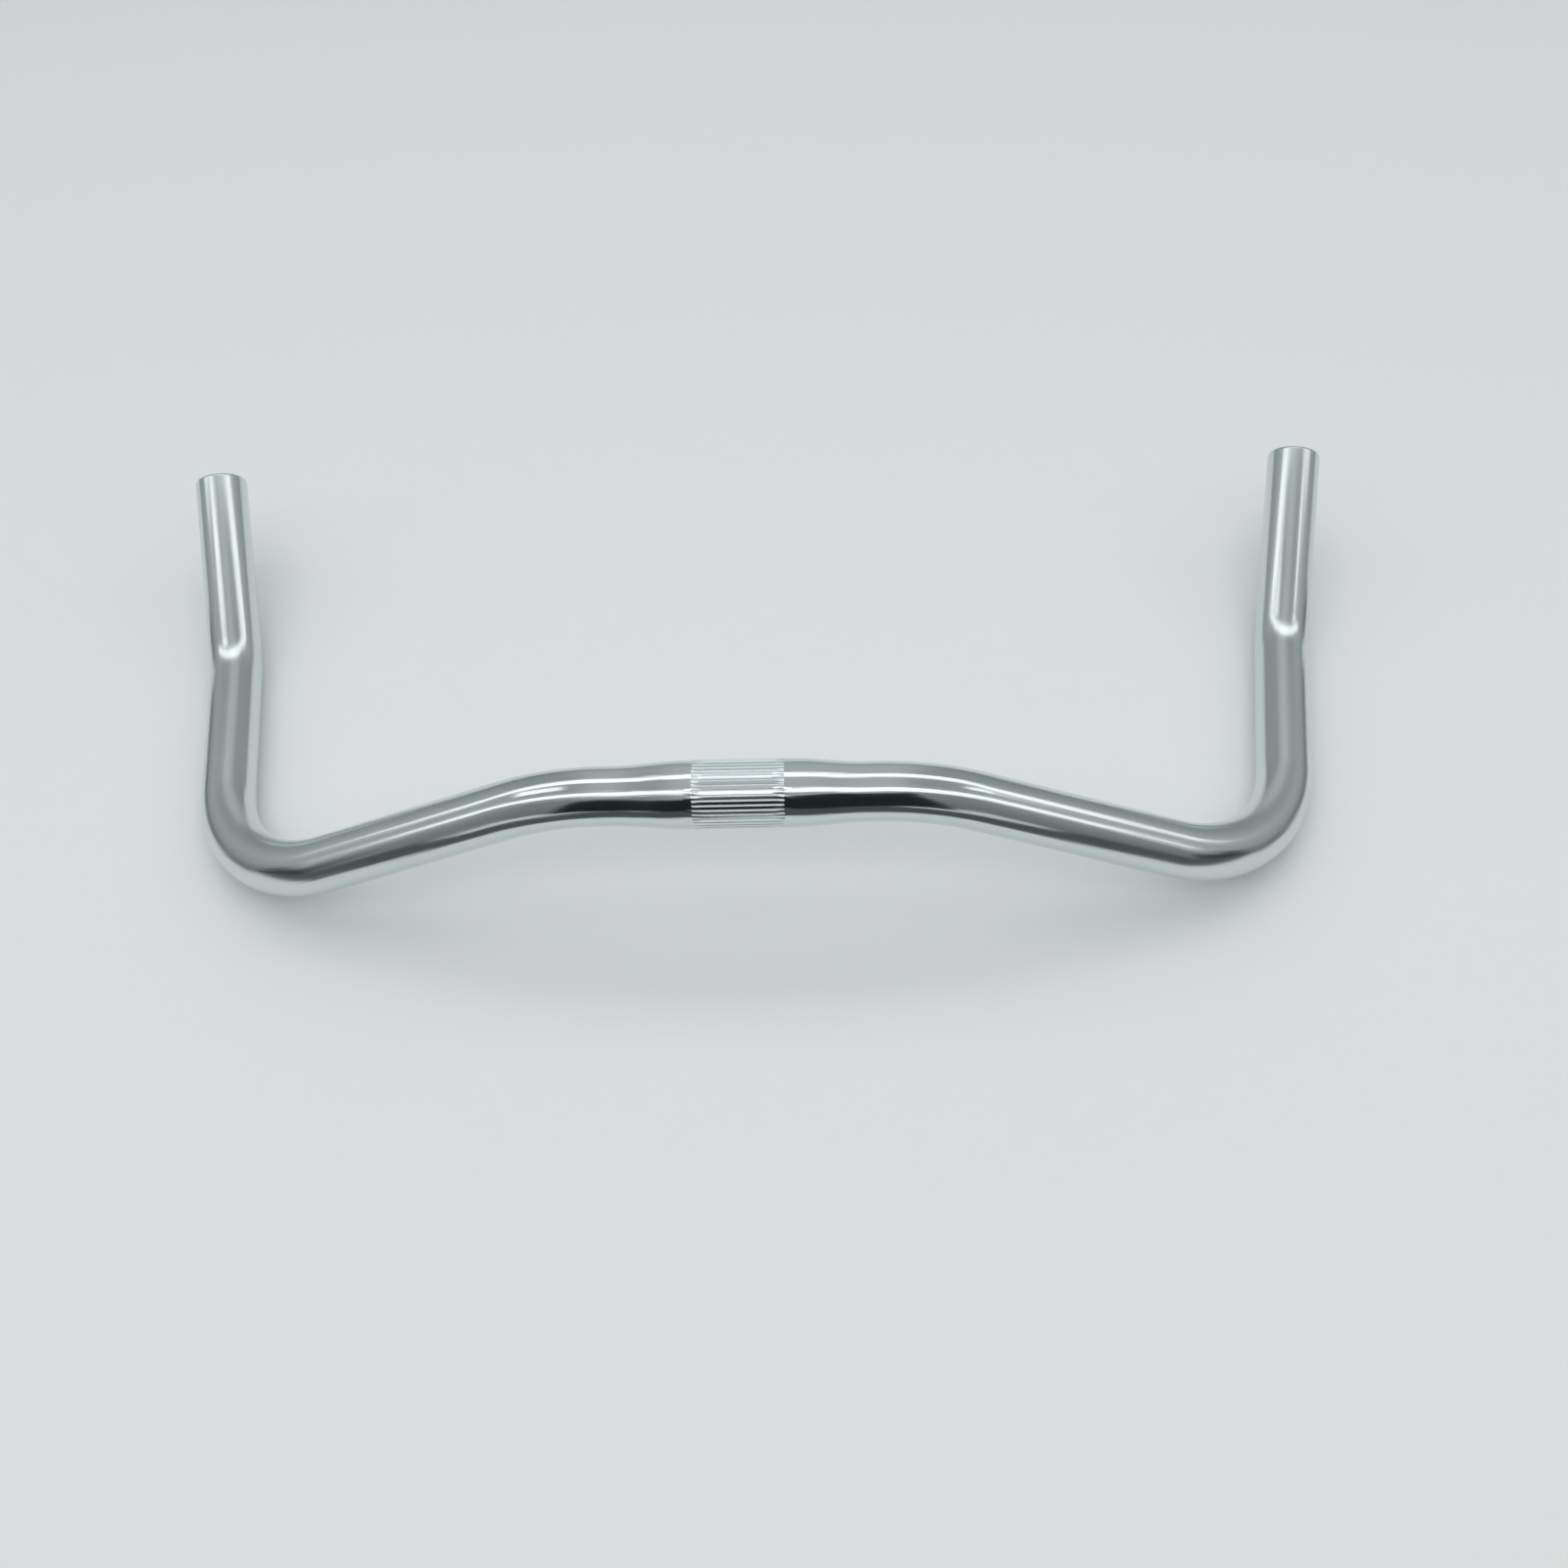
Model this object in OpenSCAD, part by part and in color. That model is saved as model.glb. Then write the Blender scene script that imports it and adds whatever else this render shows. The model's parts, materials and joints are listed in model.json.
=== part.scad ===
// Bullhorn handlebar: one drawn tube with a thick knurled centre for the stem, tapered down
// to the grip diameter on both sides and bent three times a side. The tops drop away from
// the clamp, the horns run forward and the tips rise. All lengths are in millimetres.
// The origin is the middle of the clamp. X runs along the clamp to the rider's right, Y
// points forward and Z up. The bar is turned about X so that both horns lie level.

/* [Tube] */
// Outer diameter of the tube, where it is gripped
tube_d = 22.2; // [20:0.1:24]
// Wall of the tube from the tapers to the tips
tube_wall = 2.1; // [1.7:0.1:3.5]
// Radius of the rounded outer edge at each open end
end_round = 1.2; // [0.4:0.1:1.6]
// Chamfer of the inner edge at each open end
end_chamfer = 0.4; // [0.1:0.1:0.8]

/* [Stem clamp] */
// Outer diameter of the thick centre that the stem holds
clamp_d = 25.4; // [25:0.1:32]
// Length of the thick centre between its two tapers
clamp_len = 40; // [24:1:80]
// Wall of the thick centre
clamp_wall = 2.6; // [1.6:0.1:4]
// Length of each taper from the thick centre to the tube
taper_len = 26; // [12:1:50]

/* [Knurl] */
// Number of grooves round the clamp
knurl_grooves = 42; // [16:1:60]
// Turn of the knurl about the clamp
knurl_turn = 6; // [0:0.5:8]
// Depth of a groove
knurl_depth = 0.3; // [0.1:0.05:0.6]
// Width of a groove at the surface
knurl_groove_w = 0.8; // [0.4:0.05:1.1]
// Plain strip left between the knurl and each taper
knurl_margin = 3; // [1:0.5:8]

/* [Tops] */
// Straight between each taper and the first bend
taper_to_bend = 5; // [1:1:40]
// Angle of the first bend, which drops the top from the clamp
drop_angle = 25; // [10:0.5:45]
// Centre line radius of the first bend
drop_radius = 90; // [40:1:150]
// Straight between the first and the second bend
top_len = 82; // [30:1:120]

/* [Horns] */
// Angle of the second bend, which turns the top forward into the horn
horn_angle = 81.5; // [60:0.5:100]
// Centre line radius of the second bend
horn_radius = 60; // [40:1:80]
// Turn of the tube between the first and the second bend
horn_turn = 90; // [70:1:110]
// Straight of the horn that lies level
horn_len = 61; // [30:1:120]

/* [Tips] */
// Angle of the third bend, which raises the tip
tip_angle = 25; // [5:0.5:45]
// Centre line radius of the third bend
tip_radius = 45; // [25:1:80]
// Turn of the tube between the second and the third bend
tip_turn = 66; // [50:1:90]
// Straight from the third bend to the open end
tip_len = 76; // [40:1:140]

/* [Hidden] */

$fn = 96;
// How far a cutting shape runs past the surface that it cuts
cut_over = 1;
// How much smaller the radius is in a bend than in a straight, so that the surfaces cross
bend_step = 0.03;
// How far an elbow is turned past each end, into the straight next to it
lap_angle = 0.5;
// Length of the cone that ends a straight inside a bend
cone_len = 1;
// How much smaller the radius is at the tip of that cone
cone_drop = 0.4;
// Steps along each taper
taper_steps = 12;

tube_r = tube_d / 2;
bore_r = tube_r - tube_wall;
clamp_r = clamp_d / 2;
clamp_bore_r = clamp_r - clamp_wall;
half_centre = clamp_len / 2 + taper_len;
knurl_len = clamp_len - 2 * knurl_margin;

// The bends of one side in order from the centre. Each row gives the straight before the
// bend, the turn of the tube about its own axis, the centre line radius and the angle.
BENDS = [
    [taper_to_bend, 0, drop_radius, drop_angle],
    [top_len, horn_turn, horn_radius, horn_angle],
    [horn_len, tip_turn, tip_radius, tip_angle]
];

// The way the level horn points before the bar is turned about X
top_way = [cos(drop_angle), sin(drop_angle), 0];
top_side = [-sin(drop_angle), cos(drop_angle), 0];
top_up = [0, 0, 1];
horn_side = cos(horn_turn) * top_side + sin(horn_turn) * top_up;
horn_way = cos(horn_angle) * top_way + sin(horn_angle) * horn_side;
level_turn = -atan2(horn_way.z, horn_way.y);

// Radius along a taper, from the centre at share 0 to the tube at share 1, with a smooth
// start and a smooth end
function taper_radius(centre_r, end_r, share) =
    end_r + (centre_r - end_r) * (1 + cos(180 * share)) / 2;

// Half outline of one side of the thick centre and its taper, as radius and distance
function centre_outline(centre_r, end_r) = [
    for (i = [0 : taper_steps])
        [taper_radius(centre_r, end_r, i / taper_steps), clamp_len / 2 + taper_len * i / taper_steps]
];

// Solid of revolution along X with the thick centre and both tapers
module centre_form(centre_r, end_r) {
    right = centre_outline(centre_r, end_r);
    left = [for (i = [taper_steps : -1 : 0]) [right[i].x, -right[i].y]];
    rotate([0, 90, 0])
        rotate_extrude()
            polygon(concat([[0, -half_centre]], left, right, [[0, half_centre]]));
}

// Straight rod along X. Its ends run on as short cones inside the bends next to it.
module straight(r, length) {
    rotate([0, 90, 0])
        rotate_extrude()
            polygon([
                [0, -cone_len],
                [r - cone_drop, -cone_len],
                [r, 0],
                [r, length],
                [r - cone_drop, length + cone_len],
                [0, length + cone_len]
            ]);
}

// Rod that leaves the origin along X and bends towards Y. It is a little thinner than the
// straights and is turned a little too far at both ends, so that its surface crosses theirs
// instead of touching them edge to edge. A real bar has no such step.
module elbow(r, radius, angle) {
    translate([0, radius, 0])
        rotate([0, 0, -90 - lap_angle])
            rotate_extrude(angle = angle + 2 * lap_angle)
                translate([radius, 0])
                    circle(r - bend_step);
}

// Places its children at the end of an elbow, with X along the tube again
module past_elbow(radius, angle) {
    translate([0, radius, 0])
        rotate([0, 0, angle])
            translate([0, -radius, 0])
                children();
}

// One side of the bar as a solid rod, bend after bend, with its children at the last
// bend's end
module side_run(r, step = 0) {
    if (step < len(BENDS)) {
        length = BENDS[step][0];
        turn = BENDS[step][1];
        radius = BENDS[step][2];
        angle = BENDS[step][3];
        straight(r, length);
        translate([length, 0, 0])
            rotate([turn, 0, 0]) {
                elbow(r, radius, angle);
                past_elbow(radius, angle)
                    side_run(r, step + 1)
                        children();
            }
    }
    else children();
}

// Last straight of a side, with its outer edge rounded at the open end
module tip_rod() {
    straight(tube_r, tip_len - end_round - cone_len);
    rotate([0, 90, 0])
        rotate_extrude() {
            square([tube_r, tip_len - end_round]);
            square([tube_r - end_round, tip_len]);
            translate([tube_r - end_round, tip_len - end_round])
                intersection() {
                    circle(end_round);
                    square(end_round);
                }
        }
}

// Bore of the last straight, with its inner edge chamfered at the open end
module tip_bore() {
    straight(bore_r, tip_len + cut_over);
    translate([tip_len - end_chamfer, 0, 0])
        rotate([0, 90, 0])
            cylinder(h = end_chamfer + cut_over, r1 = bore_r, r2 = bore_r + end_chamfer + cut_over);
}

// Puts its children on both sides of the centre, the left ones mirrored
module both_sides() {
    for (side = [0, 1])
        mirror([side, 0, 0])
            translate([half_centre, 0, 0])
                children();
}

// Outer form of the whole bar, without its bore
module outer_form() {
    centre_form(clamp_r, tube_r);
    both_sides()
        side_run(tube_r)
            tip_rod();
}

// Inside of the tube from one open end to the other
module bore_form() {
    centre_form(clamp_bore_r, bore_r);
    both_sides()
        side_run(bore_r)
            tip_bore();
}

// One straight V groove along X, cut from above into the clamp
module knurl_groove() {
    flank = knurl_groove_w / 2 / knurl_depth;
    translate([-knurl_len / 2, 0, clamp_r])
        rotate([90, 0, 90])
            linear_extrude(height = knurl_len)
                polygon([
                    [0, -knurl_depth],
                    [flank * (knurl_depth + cut_over), cut_over],
                    [-flank * (knurl_depth + cut_over), cut_over]
                ]);
}

// All grooves of the knurl, evenly round the clamp
module knurl() {
    for (i = [0 : knurl_grooves - 1])
        rotate([knurl_turn + 360 * i / knurl_grooves, 0, 0])
            knurl_groove();
}

// The whole bar, one piece of polished tube
module handlebar() {
    color([0.78, 0.8, 0.8])
        rotate([level_turn, 0, 0])
            difference() {
                outer_form();
                bore_form();
                knurl();
            }
}

handlebar();
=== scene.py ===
import json
import math

import bpy
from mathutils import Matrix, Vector


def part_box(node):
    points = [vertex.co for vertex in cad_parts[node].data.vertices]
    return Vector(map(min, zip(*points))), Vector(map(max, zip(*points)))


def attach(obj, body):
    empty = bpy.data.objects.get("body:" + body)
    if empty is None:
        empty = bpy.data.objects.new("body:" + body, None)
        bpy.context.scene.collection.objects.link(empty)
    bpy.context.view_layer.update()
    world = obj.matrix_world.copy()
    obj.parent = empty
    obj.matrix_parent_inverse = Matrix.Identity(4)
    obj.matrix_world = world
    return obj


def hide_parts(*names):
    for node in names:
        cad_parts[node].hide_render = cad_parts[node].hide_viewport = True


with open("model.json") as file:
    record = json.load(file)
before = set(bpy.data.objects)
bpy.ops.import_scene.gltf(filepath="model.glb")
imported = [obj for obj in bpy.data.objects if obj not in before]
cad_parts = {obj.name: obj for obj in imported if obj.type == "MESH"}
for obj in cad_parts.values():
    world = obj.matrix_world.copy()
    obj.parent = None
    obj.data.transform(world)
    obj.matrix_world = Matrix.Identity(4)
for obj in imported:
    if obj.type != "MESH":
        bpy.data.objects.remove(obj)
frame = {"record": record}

# Looks of a bullhorn handlebar. A straight tube is turned with its thick centre and open
# ends, and a Geometry Nodes tree cuts the knurl into it and bends it, bend after bend, as
# the real bar is made. Lengths are in metres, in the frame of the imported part.

bl_info = {
    "name": "Bullhorn handlebar",
    "version": (1, 0, 0),
    "blender": (4, 5, 0),
    "location": "3D View > Sidebar > Handlebar",
    "description": "Makes a polished bullhorn handlebar and its stage",
    "category": "Object",
}

MM = 0.001
NODE = "handlebar"
BODY = "root"

MOUNTS = {mount["name"]: mount for mount in frame["record"]["mounts"]}
TUBE_R = MOUNTS["right_grip"]["dims"]["r_mm"] * MM
BORE_R = MOUNTS["right_end_bore"]["dims"]["r_mm"] * MM
CLAMP_R = MOUNTS["stem_clamp"]["dims"]["r_mm"] * MM
CLAMP_LEN = MOUNTS["stem_clamp"]["dims"]["length_mm"] * MM

# Attribute that keeps where a point lay before the tube was bent
BLANK = "blank_place"
# Attribute that is 1 on the right side of the straight tube and -1 on the left
SIDE = "blank_side"
# Attribute that is 1 at the root of a groove and 0 on the plain tube
GROOVE = "groove_share"


def length(name, description, default):
    """A length property in metres"""
    return bpy.props.FloatProperty(
        name=name, description=description, default=default, min=0.0,
        subtype="DISTANCE", unit="LENGTH", precision=5)


def angle(name, description, degrees):
    """An angle property, whose default is given in degrees"""
    return bpy.props.FloatProperty(
        name=name, description=description, default=math.radians(degrees), subtype="ANGLE")


def colour(name, description, default):
    """A linear colour property"""
    return bpy.props.FloatVectorProperty(
        name=name, description=description, default=default, size=3,
        min=0.0, max=1.0, subtype="COLOR")


def share(name, description, default):
    """A number between 0 and 1"""
    return bpy.props.FloatProperty(
        name=name, description=description, default=default, min=0.0, max=1.0,
        subtype="FACTOR")


class HandlebarSizes(bpy.types.PropertyGroup):
    """Sizes of the tube, its knurl and its bends"""
    clamp_wall: length("Clamp wall", "Wall of the thick centre", 2.6 * MM)
    taper_len: length("Taper", "Length of each taper beside the clamp", 26 * MM)
    end_round: length("End round", "Radius of the outer edge at an open end", 1.2 * MM)
    end_chamfer: length("End chamfer", "Chamfer of the inner edge at an open end", 0.4 * MM)
    knurl_margin: length("Knurl margin", "Plain strip beside the knurl", 3 * MM)
    knurl_depth: length("Knurl depth", "Depth of a groove", 0.3 * MM)
    knurl_groove_w: length("Groove width", "Width of a groove at the surface", 0.8 * MM)
    knurl_fade: length("Knurl fade", "Length over which a groove runs out", 0.6 * MM)
    knurl_grooves: bpy.props.IntProperty(
        name="Grooves", description="Number of grooves round the clamp", default=42, min=8)
    knurl_turn: angle("Knurl turn", "Turn of the knurl about the clamp", 6)
    taper_to_bend: length("Taper to bend", "Straight before the first bend", 5 * MM)
    drop_angle: angle("Drop angle", "Angle of the first bend", 25)
    drop_radius: length("Drop radius", "Centre line radius of the first bend", 90 * MM)
    top_len: length("Top", "Straight between the first and the second bend", 82 * MM)
    horn_turn: angle("Horn turn", "Turn of the tube before the second bend", 90)
    horn_angle: angle("Horn angle", "Angle of the second bend", 81.5)
    horn_radius: length("Horn radius", "Centre line radius of the second bend", 60 * MM)
    horn_len: length("Horn", "Straight between the second and the third bend", 61 * MM)
    tip_turn: angle("Tip turn", "Turn of the tube before the third bend", 66)
    tip_angle: angle("Tip angle", "Angle of the third bend", 25)
    tip_radius: length("Tip radius", "Centre line radius of the third bend", 45 * MM)
    tip_len: length("Tip", "Straight from the third bend to the open end", 76 * MM)


class HandlebarLook(bpy.types.PropertyGroup):
    """Finishes of the bar"""
    metal: colour("Metal", "Colour of the polished aluminium", (0.71, 0.77, 0.775))
    knurl_metal: colour("Knurl metal", "Colour of the lands between the grooves",
                        (0.81, 0.88, 0.89))
    frost_tint: colour("Frost tint", "Colour of the frosted grooves", (0.93, 0.98, 0.99))
    bore: colour("Bore", "Colour of the drawn inside", (0.52, 0.56, 0.56))
    polish: share("Polish", "Roughness of the polished outside", 0.12)
    tip_polish: share("Tip polish", "Roughness of the duller horns and tips", 0.21)
    knurl_polish: share("Knurl polish", "Roughness of the lands between the grooves", 0.15)
    knurl_frost: share("Knurl frost", "Roughness of the frosted grooves", 0.6)
    frost_matt: share("Frost matt", "Share of a groove that scatters light evenly", 0.42)
    bore_rough: share("Bore roughness", "Roughness of the drawn inside", 0.42)


class HandlebarStage(bpy.types.PropertyGroup):
    """Colours of the floor and the room, and the camera's lens"""
    floor: colour("Floor", "Colour of the pale floor", (0.86, 0.87, 0.87))
    room: colour("Room", "Light of the grey room", (0.47, 0.5, 0.5))
    lens: bpy.props.FloatProperty(
        name="Lens", description="Focal length of the camera", default=43.875, min=1.0,
        subtype="DISTANCE_CAMERA", unit="CAMERA")


# Plain sums of the bend table

def bend_table(sizes):
    """The bends of one side in order from the centre, as start, radius, angle and turn"""
    rows = (
        (sizes.taper_to_bend, 0.0, sizes.drop_radius, sizes.drop_angle),
        (sizes.top_len, sizes.horn_turn, sizes.horn_radius, sizes.horn_angle),
        (sizes.horn_len, sizes.tip_turn, sizes.tip_radius, sizes.tip_angle),
    )
    start = CLAMP_LEN / 2 + sizes.taper_len
    table = []
    for straight, turn, radius, bend in rows:
        start += straight
        table.append((start, radius, bend, turn))
        start += radius * bend
    return table, start + sizes.tip_len


def level_turn(sizes):
    """Turn about X that lays both horns level"""
    drop, horn, turn = sizes.drop_angle, sizes.horn_angle, sizes.horn_turn
    forward = math.cos(horn) * math.sin(drop) + math.sin(horn) * math.cos(turn) * math.cos(drop)
    up = math.sin(horn) * math.sin(turn)
    return -math.atan2(up, forward)


# Helpers for node trees

def put(tree, value, socket):
    """Links a socket, or sets a plain value"""
    if isinstance(value, bpy.types.NodeSocket):
        tree.links.new(value, socket)
    else:
        socket.default_value = value


def node(tree, kind, inputs=(), **settings):
    """Adds a node with its settings, and its inputs by name or number"""
    made = tree.nodes.new(kind)
    for key, value in settings.items():
        setattr(made, key, value)
    for key, value in dict(inputs).items():
        put(tree, value, made.inputs[key])
    return made


def sums(tree, operation, *values, clamp=False):
    """A Math node, which gives its result's socket"""
    made = node(tree, "ShaderNodeMath", enumerate(values), operation=operation, use_clamp=clamp)
    return made.outputs[0]


def ramp(tree, value, low, high, at_low, at_high, kind="SMOOTHSTEP"):
    """A value that goes from at_low to at_high while another goes from low to high"""
    made = node(tree, "ShaderNodeMapRange", {
        "Value": value, "From Min": low, "From Max": high,
        "To Min": at_low, "To Max": at_high}, interpolation_type=kind)
    return made.outputs[0]


def mixed(tree, factor, first, second):
    """A colour between two others"""
    made = node(tree, "ShaderNodeMix", {"Factor": factor, 6: first, 7: second}, data_type="RGBA")
    return made.outputs[2]


def parts_of(tree, vector):
    """X, Y and Z of a vector"""
    return node(tree, "ShaderNodeSeparateXYZ", {0: vector}).outputs[:3]


def vector_of(tree, x, y, z):
    """A vector from X, Y and Z"""
    return node(tree, "ShaderNodeCombineXYZ", {0: x, 1: y, 2: z}).outputs[0]


def from_axis(tree, y, z):
    """Distance from the X axis"""
    squares = [sums(tree, "POWER", part, 2.0) for part in (y, z)]
    return sums(tree, "SQRT", sums(tree, "ADD", *squares))


def new_tree(name, kind, inputs, outputs):
    """A node group with the given sockets, and its two end nodes"""
    tree = bpy.data.node_groups.new(name, kind)
    for side, sockets in (("INPUT", inputs), ("OUTPUT", outputs)):
        for label, socket_type in sockets:
            tree.interface.new_socket(label, in_out=side, socket_type=socket_type)
    return tree, tree.nodes.new("NodeGroupInput"), tree.nodes.new("NodeGroupOutput")


# The tube

def taper_radius(centre_r, end_r, along):
    """Radius along a taper, with a smooth start and a smooth end"""
    return end_r + (centre_r - end_r) * (1 + math.cos(math.pi * along)) / 2


def stations(sizes, taper_steps=14, bend_step=math.radians(2.2), knurl_steps=4):
    """Places of the rings from the middle to the open end, with the share along the taper"""
    table, reach = bend_table(sizes)
    clamp_half = CLAMP_LEN / 2
    knurl_half = clamp_half - sizes.knurl_margin
    full = knurl_half - sizes.knurl_fade
    places = [(full * i / knurl_steps, 0.0) for i in range(knurl_steps + 1)]
    places += [(knurl_half, 0.0)]
    for i in range(taper_steps + 1):
        along = i / taper_steps
        places.append((clamp_half + sizes.taper_len * along, along))
    for start, radius, bend, _ in table:
        steps = math.ceil(bend / bend_step)
        for i in range(steps + 1):
            places.append((start + radius * bend * i / steps, 1.0))
    return places, reach


def wall_outline(sizes, round_steps=7):
    """Half outline of the wall from the middle outside to the middle inside, as place and
    radius"""
    places, reach = stations(sizes)
    clamp_bore_r = CLAMP_R - sizes.clamp_wall
    outside = [(x, taper_radius(CLAMP_R, TUBE_R, along)) for x, along in places]
    inside = [(x, taper_radius(clamp_bore_r, BORE_R, along)) for x, along in places]
    edge = sizes.end_round
    for i in range(round_steps + 1):
        swing = math.pi / 2 * i / round_steps
        outside.append((reach - edge + edge * math.sin(swing),
                        TUBE_R - edge + edge * math.cos(swing)))
    mouth = [(reach, BORE_R + sizes.end_chamfer), (reach - sizes.end_chamfer, BORE_R)]
    return outside + mouth + inside[::-1]


def column_angles(sizes):
    """Angles of the columns, with one on each edge and each root of the grooves"""
    pitch = 2 * math.pi / sizes.knurl_grooves
    edge = sizes.knurl_groove_w / 2 / CLAMP_R
    return [pitch * i + part
            for i in range(sizes.knurl_grooves)
            for part in (-edge, 0.0, edge, pitch / 2)]


def tube_blank(sizes):
    """The straight tube before it is knurled and bent, as a closed mesh"""
    half = wall_outline(sizes)
    left = [(-x, r) for x, r in half if x > 0]
    loop = half + left[::-1]
    angles = column_angles(sizes)
    turns = [(math.cos(a), math.sin(a)) for a in angles]
    verts = [(x, r * c, r * s) for x, r in loop for c, s in turns]
    rings, columns = len(loop), len(angles)
    faces = []
    for i in range(rings):
        near, far = i * columns, (i + 1) % rings * columns
        for j in range(columns):
            k = (j + 1) % columns
            faces.append((near + j, near + k, far + k, far + j))
    mesh = bpy.data.meshes.new("tube_blank")
    mesh.from_pydata(verts, [], faces)
    mesh.validate()
    return mesh


def bend_group():
    """Node group that bends everything past a point of a tube along X towards Y, and then
    turns it about X"""
    tree, start, end = new_tree(
        "bend_tube", "GeometryNodeTree",
        (("Geometry", "NodeSocketGeometry"), ("Start", "NodeSocketFloat"),
         ("Radius", "NodeSocketFloat"), ("Angle", "NodeSocketFloat"),
         ("Turn", "NodeSocketFloat")),
        (("Geometry", "NodeSocketGeometry"),))
    begin, radius = start.outputs["Start"], start.outputs["Radius"]
    x, y, z = parts_of(tree, node(tree, "GeometryNodeInputPosition").outputs[0])
    past = sums(tree, "SUBTRACT", x, begin)
    arc = sums(tree, "MULTIPLY", radius, start.outputs["Angle"])
    bent = sums(tree, "MINIMUM", sums(tree, "MAXIMUM", past, 0.0), arc)
    swing = sums(tree, "DIVIDE", bent, radius)
    rest = sums(tree, "MAXIMUM", sums(tree, "SUBTRACT", past, arc), 0.0)
    before = sums(tree, "MINIMUM", x, begin)
    reach = sums(tree, "SUBTRACT", radius, y)
    sine, cosine = sums(tree, "SINE", swing), sums(tree, "COSINE", swing)
    new_x = sums(tree, "ADD", before, sums(
        tree, "ADD", sums(tree, "MULTIPLY", reach, sine), sums(tree, "MULTIPLY", rest, cosine)))
    new_y = sums(tree, "ADD", radius, sums(
        tree, "SUBTRACT", sums(tree, "MULTIPLY", rest, sine),
        sums(tree, "MULTIPLY", reach, cosine)))
    moved = node(tree, "GeometryNodeSetPosition", {
        "Geometry": start.outputs["Geometry"], "Position": vector_of(tree, new_x, new_y, z)})
    turned = node(tree, "GeometryNodeTransform", {
        "Geometry": moved.outputs[0],
        "Rotation": vector_of(tree, start.outputs["Turn"], 0.0, 0.0)})
    put(tree, turned.outputs[0], end.inputs[0])
    return tree


def stored(tree, geometry, name, kind, value):
    """Keeps a value on the points under a name"""
    kept = node(tree, "GeometryNodeStoreNamedAttribute", {"Geometry": geometry, "Name": name},
                data_type=kind, domain="POINT")
    put(tree, value, kept.inputs["Value"])
    return kept.outputs[0]


def knurled(tree, geometry, blank, sizes_in):
    """Cuts the V grooves of the knurl into the outside of the clamp"""
    x, y, z = parts_of(tree, blank)
    r = from_axis(tree, y, z)
    pitch = sums(tree, "DIVIDE", 2 * math.pi, sizes_in["Grooves"])
    half_pitch = sums(tree, "DIVIDE", pitch, 2.0)
    off = sums(tree, "WRAP", sums(tree, "ARCTAN2", z, y), half_pitch,
               sums(tree, "MULTIPLY", half_pitch, -1.0))
    away = sums(tree, "MULTIPLY", sums(tree, "ABSOLUTE", off), sizes_in["Clamp Radius"])
    half_groove = sums(tree, "DIVIDE", sizes_in["Groove Width"], 2.0)
    across = sums(tree, "SUBTRACT", 1.0, sums(tree, "DIVIDE", away, half_groove), clamp=True)
    inward = sums(tree, "SUBTRACT", sizes_in["Knurl Half"], sums(tree, "ABSOLUTE", x))
    fade = sums(tree, "DIVIDE", inward, sizes_in["Knurl Fade"], clamp=True)
    outer = sums(tree, "GREATER_THAN", r, sizes_in["Mid Wall"])
    share_cut = sums(tree, "MULTIPLY", sums(tree, "MULTIPLY", across, fade), outer)
    geometry = stored(tree, geometry, GROOVE, "FLOAT", share_cut)
    depth = sums(tree, "MULTIPLY", share_cut, sizes_in["Knurl Depth"])
    scale = sums(tree, "DIVIDE", sums(tree, "SUBTRACT", r, depth), r)
    place = vector_of(tree, x, sums(tree, "MULTIPLY", y, scale), sums(tree, "MULTIPLY", z, scale))
    cut = node(tree, "GeometryNodeSetPosition", {"Geometry": geometry, "Position": place})
    return cut.outputs[0]


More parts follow.
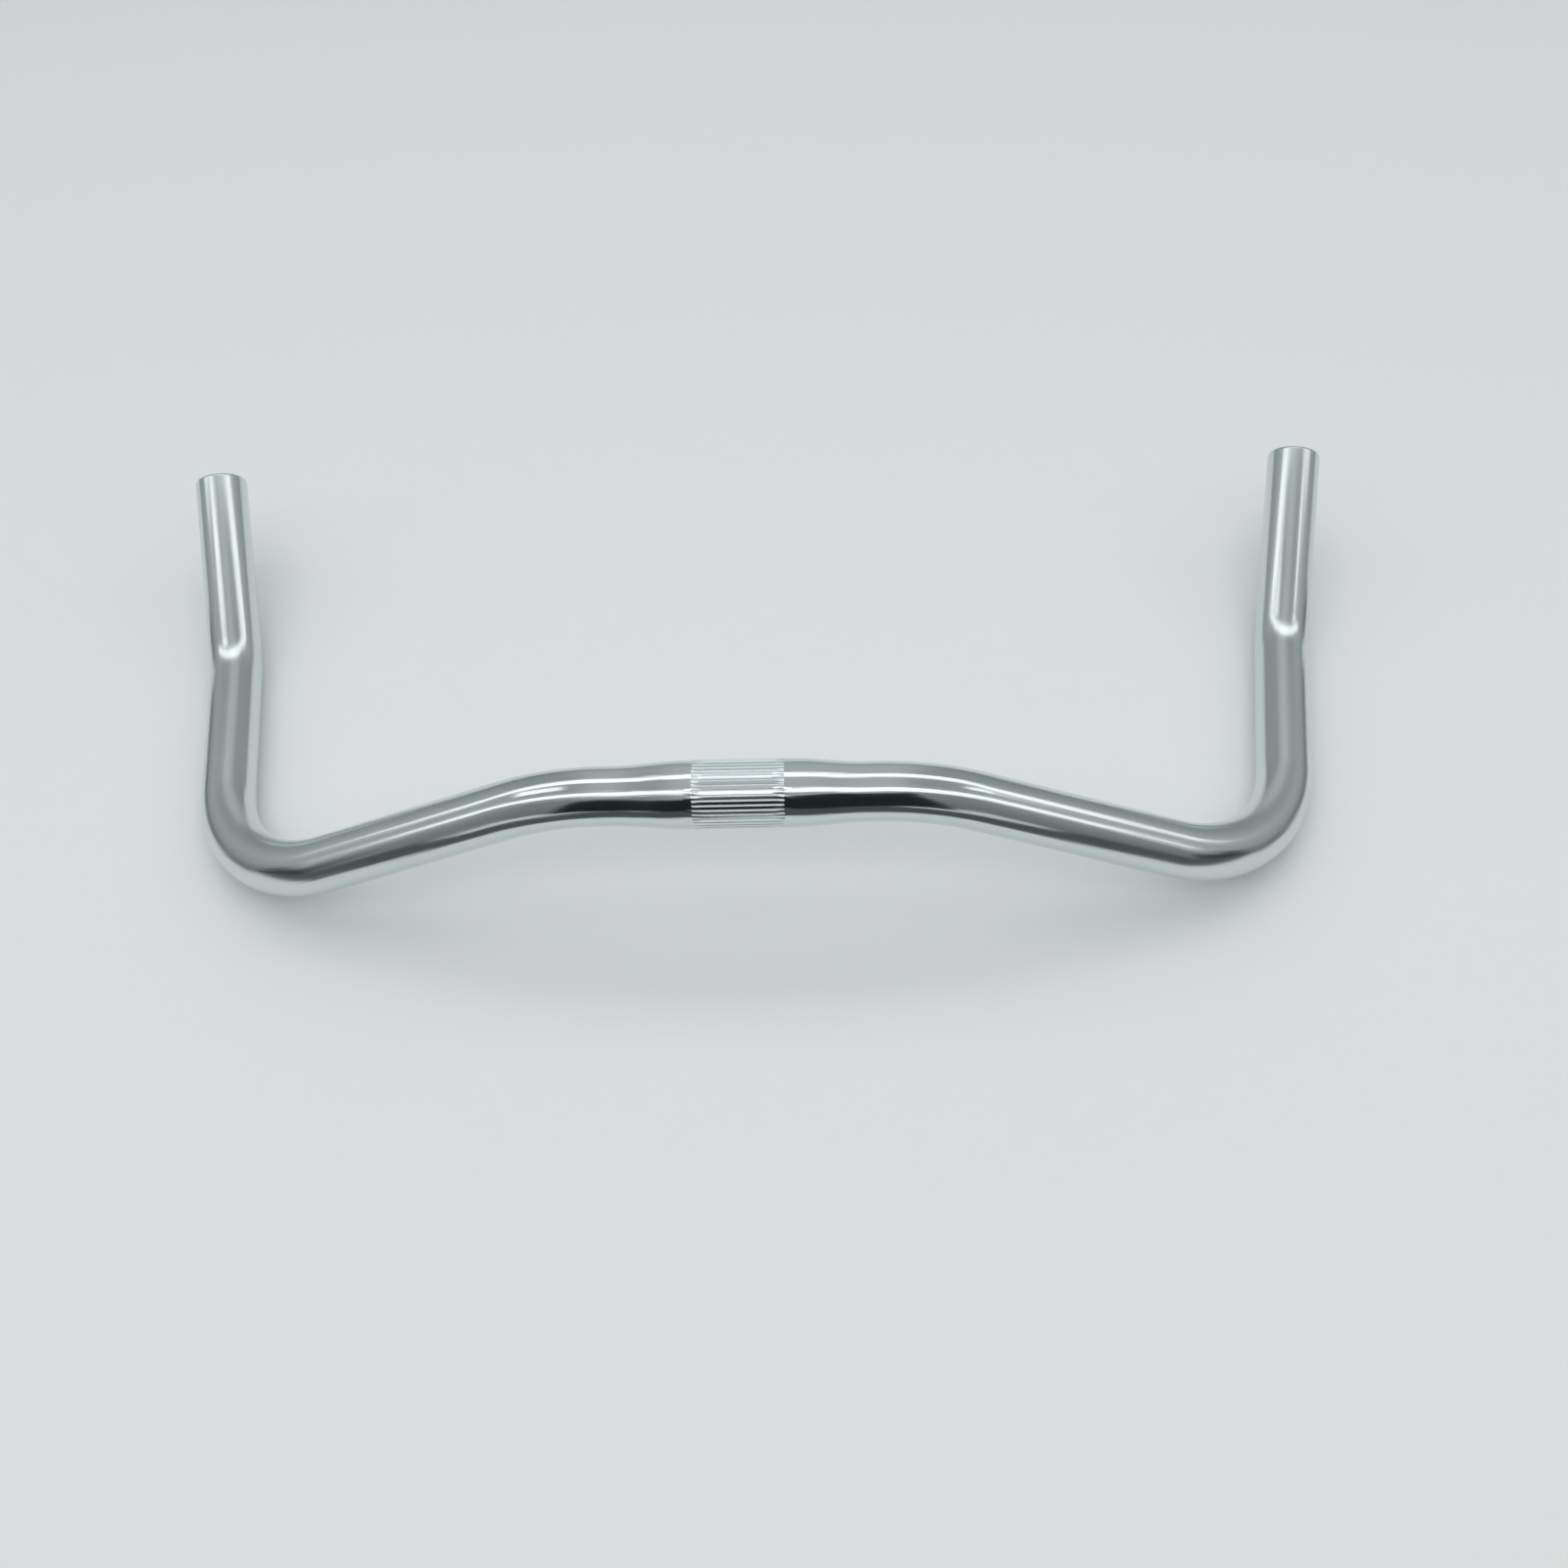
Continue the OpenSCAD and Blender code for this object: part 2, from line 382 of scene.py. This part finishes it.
def bar_tree(sizes, metals):
    """The tree that knurls and bends a straight tube, with its sizes as named inputs"""
    table, _ = bend_table(sizes)
    values = {
        "Grooves": float(sizes.knurl_grooves),
        "Groove Width": sizes.knurl_groove_w,
        "Knurl Depth": sizes.knurl_depth,
        "Knurl Half": CLAMP_LEN / 2 - sizes.knurl_margin,
        "Knurl Fade": sizes.knurl_fade,
        "Clamp Radius": CLAMP_R,
        "Mid Wall": (CLAMP_R - sizes.clamp_wall + TUBE_R) / 2,
        "Level Turn": level_turn(sizes),
        "Blank Turn": math.pi / 2 + sizes.knurl_turn - sum(row[3] for row in table),
    }
    for i, row in enumerate(table, 1):
        for label, value in zip(("Start", "Radius", "Angle", "Turn"), row):
            values[f"Bend {i} {label}"] = value
    tree, start, end = new_tree(
        "bend_handlebar", "GeometryNodeTree",
        [("Geometry", "NodeSocketGeometry")] + [(label, "NodeSocketFloat") for label in values],
        (("Geometry", "NodeSocketGeometry"),))
    given = start.outputs

    blank = node(tree, "GeometryNodeInputPosition").outputs[0]
    x = parts_of(tree, blank)[0]
    side = sums(tree, "SUBTRACT", sums(
        tree, "MULTIPLY", sums(tree, "GREATER_THAN", x, 0.0), 2.0), 1.0)
    shape = stored(tree, given["Geometry"], BLANK, "FLOAT_VECTOR", blank)
    shape = stored(tree, shape, SIDE, "FLOAT", side)
    shape = knurled(tree, shape, blank, given)
    shape = node(tree, "GeometryNodeTransform", {
        "Geometry": shape, "Rotation": vector_of(tree, given["Blank Turn"], 0.0, 0.0)}).outputs[0]
    fx, fy, fz = parts_of(tree, node(tree, "GeometryNodeInputPosition").outputs[0])
    shape = node(tree, "GeometryNodeSetPosition", {
        "Geometry": shape,
        "Position": vector_of(tree, sums(tree, "ABSOLUTE", fx), fy, fz)}).outputs[0]
    group = bend_group()
    for i in range(len(table), 0, -1):
        bend = node(tree, "GeometryNodeGroup", node_tree=group)
        put(tree, shape, bend.inputs["Geometry"])
        for label in ("Start", "Radius", "Angle", "Turn"):
            put(tree, given[f"Bend {i} {label}"], bend.inputs[label])
        shape = bend.outputs[0]
    kept_side = node(tree, "GeometryNodeInputNamedAttribute", {"Name": SIDE}, data_type="FLOAT")
    bx, by, bz = parts_of(tree, node(tree, "GeometryNodeInputPosition").outputs[0])
    shape = node(tree, "GeometryNodeSetPosition", {
        "Geometry": shape,
        "Position": vector_of(tree, sums(tree, "MULTIPLY", bx, kept_side.outputs[0]), by, bz),
    }).outputs[0]
    shape = node(tree, "GeometryNodeTransform", {
        "Geometry": shape, "Rotation": vector_of(tree, given["Level Turn"], 0.0, 0.0)}).outputs[0]

    kept = node(tree, "GeometryNodeInputNamedAttribute", {"Name": BLANK},
                data_type="FLOAT_VECTOR").outputs[0]
    kx, ky, kz = parts_of(tree, kept)
    kept_r = from_axis(tree, ky, kz)
    in_bore = sums(tree, "LESS_THAN", kept_r, given["Mid Wall"])
    on_knurl = sums(tree, "MULTIPLY", sums(tree, "GREATER_THAN", kept_r, given["Mid Wall"]), sums(
        tree, "LESS_THAN", sums(tree, "ABSOLUTE", kx), given["Knurl Half"]))
    shape = node(tree, "GeometryNodeRealizeInstances", {"Geometry": shape}).outputs[0]
    for metal, chosen in ((metals["polished"], None), (metals["bore"], in_bore),
                          (metals["knurl"], on_knurl)):
        painted = node(tree, "GeometryNodeSetMaterial", {"Geometry": shape, "Material": metal})
        if chosen is not None:
            put(tree, chosen, painted.inputs["Selection"])
        shape = painted.outputs[0]
    put(tree, shape, end.inputs[0])
    return tree, values


def set_inputs(modifier, tree, values):
    """Sets a modifier's inputs by the identifiers of its tree's sockets"""
    for item in tree.interface.items_tree:
        if item.in_out == "INPUT" and item.name in values:
            modifier[item.identifier] = values[item.name]


# Finishes

# Scale along the tube of the polish lines, which draws them out
LINE_STRETCH = 0.012
# Scale of the cloudiness
CLOUD_SCALE = 55.0
# Shares of the lines and of the clouds in the unevenness
LINE_SHARE, CLOUD_SHARE = 0.6, 0.4
# Share of the lines in the height, beside the wider waves
LINE_HEIGHT = 0.12
# Colour that the metal takes on a little where the polish is duller, and how much of it
DULL_COLOUR, DULL_SHARE = (0.55, 0.6, 0.6, 1.0), 0.12
# Distances from the middle, along the tube and in metres, between which it gets duller
DULL_FROM, DULL_TO = 0.05, 0.17
# Shares of a groove's depth from which it is fully frosted, and as matt as it gets
FROST_FULL, MATT_FULL = 0.3, 0.5
# Angle between two faces from which their edge stays sharp
SHARP_ANGLE = math.radians(28)


def polish_group():
    """Fine lines that polishing leaves along a tube, and the soft cloudiness between them"""
    tree, start, end = new_tree(
        "polish_lines", "ShaderNodeTree",
        (("Fineness", "NodeSocketFloat"), ("Wave Scale", "NodeSocketFloat"),
         ("Roughness", "NodeSocketFloat"), ("Tip Roughness", "NodeSocketFloat"),
         ("Unevenness", "NodeSocketFloat"), ("Colour", "NodeSocketColor")),
        (("Colour", "NodeSocketColor"), ("Roughness", "NodeSocketFloat"),
         ("Height", "NodeSocketFloat")))
    place = node(tree, "ShaderNodeAttribute", attribute_name=BLANK).outputs["Vector"]
    stretched = node(tree, "ShaderNodeMapping", {
        "Vector": place, "Scale": (LINE_STRETCH, 1.0, 1.0)})
    lines = node(tree, "ShaderNodeTexNoise", {
        "Vector": stretched.outputs[0], "Scale": start.outputs["Fineness"],
        "Detail": 3.0, "Roughness": 0.6})
    waves = node(tree, "ShaderNodeTexNoise", {
        "Vector": stretched.outputs[0], "Scale": start.outputs["Wave Scale"],
        "Detail": 1.5, "Roughness": 0.5})
    clouds = node(tree, "ShaderNodeTexNoise", {
        "Vector": place, "Scale": CLOUD_SCALE, "Detail": 2.0, "Roughness": 0.5})
    wave = sums(tree, "ADD", sums(tree, "MULTIPLY", lines.outputs["Fac"], LINE_SHARE),
                sums(tree, "MULTIPLY", clouds.outputs["Fac"], CLOUD_SHARE))
    swing = sums(tree, "MULTIPLY", sums(tree, "SUBTRACT", wave, 0.5), start.outputs["Unevenness"])
    from_middle = sums(tree, "ABSOLUTE", parts_of(tree, place)[0])
    towards_tip = ramp(tree, from_middle, DULL_FROM, DULL_TO,
                       start.outputs["Roughness"], start.outputs["Tip Roughness"])
    rough = sums(tree, "MULTIPLY", towards_tip, sums(tree, "ADD", 1.0, swing))
    shade = mixed(tree, sums(tree, "MULTIPLY", wave, DULL_SHARE),
                  start.outputs["Colour"], DULL_COLOUR)
    put(tree, shade, end.inputs["Colour"])
    put(tree, rough, end.inputs["Roughness"])
    put(tree, sums(tree, "ADD", waves.outputs["Fac"],
                   sums(tree, "MULTIPLY", lines.outputs["Fac"], LINE_HEIGHT)),
        end.inputs["Height"])
    return tree


def metal_finish(name, group, tint, values, relief, frost=None):
    """Aluminium whose colour, roughness and relief follow the polish lines. Frost holds
    the roughness, the colour and the matt share at the bottom of the grooves."""
    metal = bpy.data.materials.new(name)
    metal.use_nodes = True
    tree = metal.node_tree
    shader = tree.nodes["Principled BSDF"]
    shader.inputs["Metallic"].default_value = 1.0
    lines = node(tree, "ShaderNodeGroup", node_tree=group)
    lines.inputs["Colour"].default_value = (*tint, 1.0)
    for label, value in values.items():
        lines.inputs[label].default_value = value
    roughness, colour_out = lines.outputs["Roughness"], lines.outputs["Colour"]
    if frost is not None:
        frost_rough, frost_tint, frost_matt = frost
        cut = node(tree, "ShaderNodeAttribute", attribute_name=GROOVE).outputs["Fac"]
        roughness = ramp(tree, cut, 0.0, FROST_FULL, roughness, frost_rough, "LINEAR")
        colour_out = mixed(tree, cut, colour_out, (*frost_tint, 1.0))
        put(tree, ramp(tree, cut, 0.0, MATT_FULL, 1.0, 1.0 - frost_matt, "LINEAR"),
            shader.inputs["Metallic"])
    bump = node(tree, "ShaderNodeBump", {
        "Height": lines.outputs["Height"], "Strength": 1.0, "Distance": relief})
    put(tree, colour_out, shader.inputs["Base Color"])
    put(tree, roughness, shader.inputs["Roughness"])
    put(tree, bump.outputs[0], shader.inputs["Normal"])
    return metal


# Stage

# The camera's place, and its turns in degrees
CAMERA_PLACE = (0.040797, -0.424726, 0.555875)
CAMERA_TURN = (37.6384, 2.2622, 0.3338)
# Half a side of the square floor
FLOOR_HALF = 6.0
# The room's light by the way that it comes from. Each row gives two values of a measure and
# the room's share of its full light at both. The measures are how far forward the way
# points, how far aside, how far aside again and how high.
ROOM_FORWARD = (-0.35, 0.45, 0.7, 1.0)
ROOM_ASIDE = (0.1, 0.35, 1.0, 0.68)
ROOM_FAR_ASIDE = (0.5, 0.8, 1.0, 1.22)
ROOM_HIGH = (0.05, 0.45, 0.8, 1.0)
# Share of the height that counts as forward
FORWARD_LIFT = 0.9

# Lamps as name, azimuth from the rider's side towards the right, elevation, distance,
# width, height, brightness and whether the metal shows the lamp itself. The two long strips
# lie along the clamp and give the centre and the tops their two bright lines, and the two
# boxes give the tips theirs.
LAMPS = (
    ("near_strip", 0, 61, 1.35, 4.6, 0.36, 1.1, True),
    ("far_strip", 180, 64, 1.32, 4.6, 0.36, 1.04, True),
    ("left_box", -94, 57, 3.0, 0.7, 1.05, 1.05, True),
    ("right_box", 93, 46, 3.0, 0.6, 0.62, 1.0, True),
    ("top_fill", 0, 82, 2.4, 2.4, 2.4, 0.88, False),
)
# Cards as name, colour and points. Only the metal shows them: the low and the tall card as
# the dark band along the bar, the two at the sides as the dark of the second bends, and the
# two grey ones as the middle grey of the horns. Each stands on the floor and runs through
# its points, given as X, Y and the height of the top edge.
BAND_GREY = (0.128, 0.145, 0.146)
BAND_BLACK = (0.018, 0.025, 0.026)
BEND_BLACK = (0.022, 0.03, 0.031)
HORN_GREY = (0.29, 0.3, 0.3)
CARDS = (
    ("low_card", BAND_GREY, (
        (-0.8, -0.09, -0.04), (-0.26, -0.09, -0.025), (-0.19, -0.09, -0.015),
        (-0.15, -0.09, -0.028), (-0.1, -0.1, -0.022), (0.0, -0.153, 0.004),
        (0.1, -0.1, -0.022), (0.15, -0.09, -0.025), (0.185, -0.09, -0.014),
        (0.26, -0.09, -0.025), (0.8, -0.09, -0.04))),
    ("tall_card", BAND_BLACK, ((-0.27, -0.6, 0.41), (0.27, -0.6, 0.68))),
    ("left_card", BEND_BLACK, ((-0.54, -0.05, 0.07), (-0.44, -0.24, 0.065))),
    ("right_card", BEND_BLACK, ((0.44, -0.24, 0.065), (0.54, -0.06, 0.07))),
    ("left_low_card", HORN_GREY, ((-0.33, 0.17, -0.045), (-0.33, -0.02, -0.045))),
    ("right_low_card", HORN_GREY, ((0.33, -0.02, -0.045), (0.33, 0.17, -0.045))),
)
# Roughness of the cards and of the floor, and the specular level of both
CARD_ROUGHNESS, FLOOR_ROUGHNESS = 0.9, 0.8
MATT_SPECULAR = 0.1


def direction(azimuth, elevation):
    """Unit vector from an azimuth and an elevation in degrees"""
    a, e = math.radians(azimuth), math.radians(elevation)
    return Vector((math.sin(a) * math.cos(e), -math.cos(a) * math.cos(e), math.sin(e)))


def plain_material(name, tint, roughness):
    """A plain matt material of the stage"""
    made = bpy.data.materials.new(name)
    made.use_nodes = True
    shader = made.node_tree.nodes["Principled BSDF"]
    shader.inputs["Base Color"].default_value = (*tint, 1.0)
    shader.inputs["Roughness"].default_value = roughness
    shader.inputs["Specular IOR Level"].default_value = MATT_SPECULAR
    return made


def stage_piece(name, corners, faces, material):
    """A flat or folded piece of the stage"""
    mesh = bpy.data.meshes.new(name)
    mesh.from_pydata(corners, [], faces)
    mesh.materials.append(material)
    made = bpy.data.objects.new(name, mesh)
    bpy.context.scene.collection.objects.link(made)
    return made


def room_light(tint):
    """A grey room that is darker low down and on the rider's side, and darker to both
    sides before it gets brighter again at the far left and right"""
    world = bpy.data.worlds.new("grey_room")
    bpy.context.scene.world = world
    world.use_nodes = True
    tree = world.node_tree
    tree.nodes.clear()
    x, y, z = parts_of(tree, node(tree, "ShaderNodeTexCoord").outputs["Generated"])
    ahead = sums(tree, "ADD", y, sums(tree, "MULTIPLY", z, FORWARD_LIFT))
    sideways = sums(tree, "ABSOLUTE", x)
    forward = ramp(tree, ahead, *ROOM_FORWARD)
    aside = ramp(tree, sideways, *ROOM_ASIDE)
    far_aside = ramp(tree, sideways, *ROOM_FAR_ASIDE)
    high = ramp(tree, z, *ROOM_HIGH)
    level = sums(tree, "MULTIPLY", sums(tree, "MULTIPLY", forward, high),
                 sums(tree, "MULTIPLY", aside, far_aside))
    lit = node(tree, "ShaderNodeBackground", {"Color": (*tint, 1.0), "Strength": level})
    out = node(tree, "ShaderNodeOutputWorld")
    put(tree, lit.outputs[0], out.inputs["Surface"])


def add_lamp(name, azimuth, elevation, distance, width, height, brightness, shown):
    """A soft lamp that points at the bar, as bright as the given share of white"""
    light = bpy.data.lights.new(name, "AREA")
    light.shape = "RECTANGLE"
    light.size, light.size_y = width, height
    light.energy = brightness * math.pi * width * height
    lamp = bpy.data.objects.new(name, light)
    way = direction(azimuth, elevation)
    lamp.location = way * distance
    lamp.rotation_euler = (-way).to_track_quat("-Z", "Y").to_euler()
    lamp.visible_glossy = shown
    bpy.context.scene.collection.objects.link(lamp)


def add_card(name, tint, points, ground):
    """An upright matt card, folded at its points, that only the metal shows"""
    corners = [corner for x, y, top in points for corner in ((x, y, ground), (x, y, top))]
    faces = [(i, i + 2, i + 3, i + 1) for i in range(0, len(corners) - 2, 2)]
    card = stage_piece(name, corners, faces, plain_material(name, tint, CARD_ROUGHNESS))
    card.visible_camera = False
    card.visible_diffuse = False
    card.visible_shadow = False


def add_camera(lens):
    """The camera at the photo's viewing angle"""
    camera = bpy.data.objects.new("camera", bpy.data.cameras.new("camera"))
    camera.data.lens = lens
    camera.location = CAMERA_PLACE
    camera.rotation_euler = [math.radians(turn) for turn in CAMERA_TURN]
    bpy.context.scene.collection.objects.link(camera)
    bpy.context.scene.camera = camera


class HANDLEBAR_OT_bar(bpy.types.Operator):
    """Make the bent and knurled bar"""
    bl_idname = "handlebar.make_bar"
    bl_label = "Make the bar"

    def execute(self, context):
        sizes, look = context.scene.handlebar_sizes, context.scene.handlebar_look
        group = polish_group()
        metals = {
            "polished": metal_finish(
                "polished_aluminium", group, look.metal,
                {"Fineness": 5200.0, "Wave Scale": 700.0, "Roughness": look.polish,
                 "Tip Roughness": look.tip_polish, "Unevenness": 0.9}, relief=0.06 * MM),
            "knurl": metal_finish(
                "knurled_aluminium", group, look.knurl_metal,
                {"Fineness": 2600.0, "Wave Scale": 900.0, "Roughness": look.knurl_polish,
                 "Tip Roughness": look.knurl_polish, "Unevenness": 0.5}, relief=0.015 * MM,
                frost=(look.knurl_frost, look.frost_tint, look.frost_matt)),
            "bore": metal_finish(
                "drawn_bore", group, look.bore,
                {"Fineness": 1500.0, "Wave Scale": 600.0, "Roughness": look.bore_rough,
                 "Tip Roughness": look.bore_rough, "Unevenness": 0.5}, relief=0.03 * MM),
        }
        blank = bpy.data.objects.new("tube_blank", tube_blank(sizes))
        context.scene.collection.objects.link(blank)
        tree, values = bar_tree(sizes, metals)
        modifier = blank.modifiers.new("bend_handlebar", "NODES")
        modifier.node_group = tree
        set_inputs(modifier, tree, values)
        context.view_layer.update()
        graph = context.evaluated_depsgraph_get()
        mesh = bpy.data.meshes.new_from_object(blank.evaluated_get(graph))
        bpy.data.objects.remove(blank)
        mesh.polygons.foreach_set("use_smooth", [True] * len(mesh.polygons))
        mesh.set_sharp_from_angle(angle=SHARP_ANGLE)
        bar = bpy.data.objects.new("bullhorn_bar", mesh)
        context.scene.collection.objects.link(bar)
        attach(bar, BODY)
        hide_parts(NODE)
        return {"FINISHED"}


class HANDLEBAR_OT_stage(bpy.types.Operator):
    """Set up the floor, the room, the lamps and the camera"""
    bl_idname = "handlebar.make_stage"
    bl_label = "Make the stage"

    def execute(self, context):
        stage = context.scene.handlebar_stage
        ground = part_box(NODE)[0].z
        half = FLOOR_HALF
        stage_piece("floor", [(-half, -half, ground), (half, -half, ground),
                              (half, half, ground), (-half, half, ground)],
                    [(0, 1, 2, 3)], plain_material("pale_floor", stage.floor, FLOOR_ROUGHNESS))
        for card in CARDS:
            add_card(*card, ground)
        room_light(stage.room)
        for lamp in LAMPS:
            add_lamp(*lamp)
        add_camera(stage.lens)
        context.scene.view_settings.view_transform = "Standard"
        return {"FINISHED"}


class HANDLEBAR_PT_panel(bpy.types.Panel):
    """Panel with the sizes, finishes and steps of the bar"""
    bl_idname = "HANDLEBAR_PT_panel"
    bl_label = "Bullhorn handlebar"
    bl_space_type = "VIEW_3D"
    bl_region_type = "UI"
    bl_category = "Handlebar"

    def draw(self, context):
        for group in ("handlebar_sizes", "handlebar_look", "handlebar_stage"):
            values = getattr(context.scene, group)
            box = self.layout.box()
            for name in values.bl_rna.properties.keys():
                if name not in ("rna_type", "name"):
                    box.prop(values, name)
        for operator in (HANDLEBAR_OT_bar, HANDLEBAR_OT_stage):
            self.layout.operator(operator.bl_idname)


CLASSES = (HandlebarSizes, HandlebarLook, HandlebarStage, HANDLEBAR_OT_bar,
           HANDLEBAR_OT_stage, HANDLEBAR_PT_panel)


def register():
    """Registers the classes and their values on the scene"""
    for item in CLASSES:
        bpy.utils.register_class(item)
    bpy.types.Scene.handlebar_sizes = bpy.props.PointerProperty(type=HandlebarSizes)
    bpy.types.Scene.handlebar_look = bpy.props.PointerProperty(type=HandlebarLook)
    bpy.types.Scene.handlebar_stage = bpy.props.PointerProperty(type=HandlebarStage)


def unregister():
    """Takes the values and classes away again"""
    del bpy.types.Scene.handlebar_stage
    del bpy.types.Scene.handlebar_look
    del bpy.types.Scene.handlebar_sizes
    for item in reversed(CLASSES):
        bpy.utils.unregister_class(item)


def main():
    """Makes the bar and its stage"""
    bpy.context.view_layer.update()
    register()
    bpy.ops.handlebar.make_bar()
    bpy.ops.handlebar.make_stage()


if __name__ == "__main__":
    main()
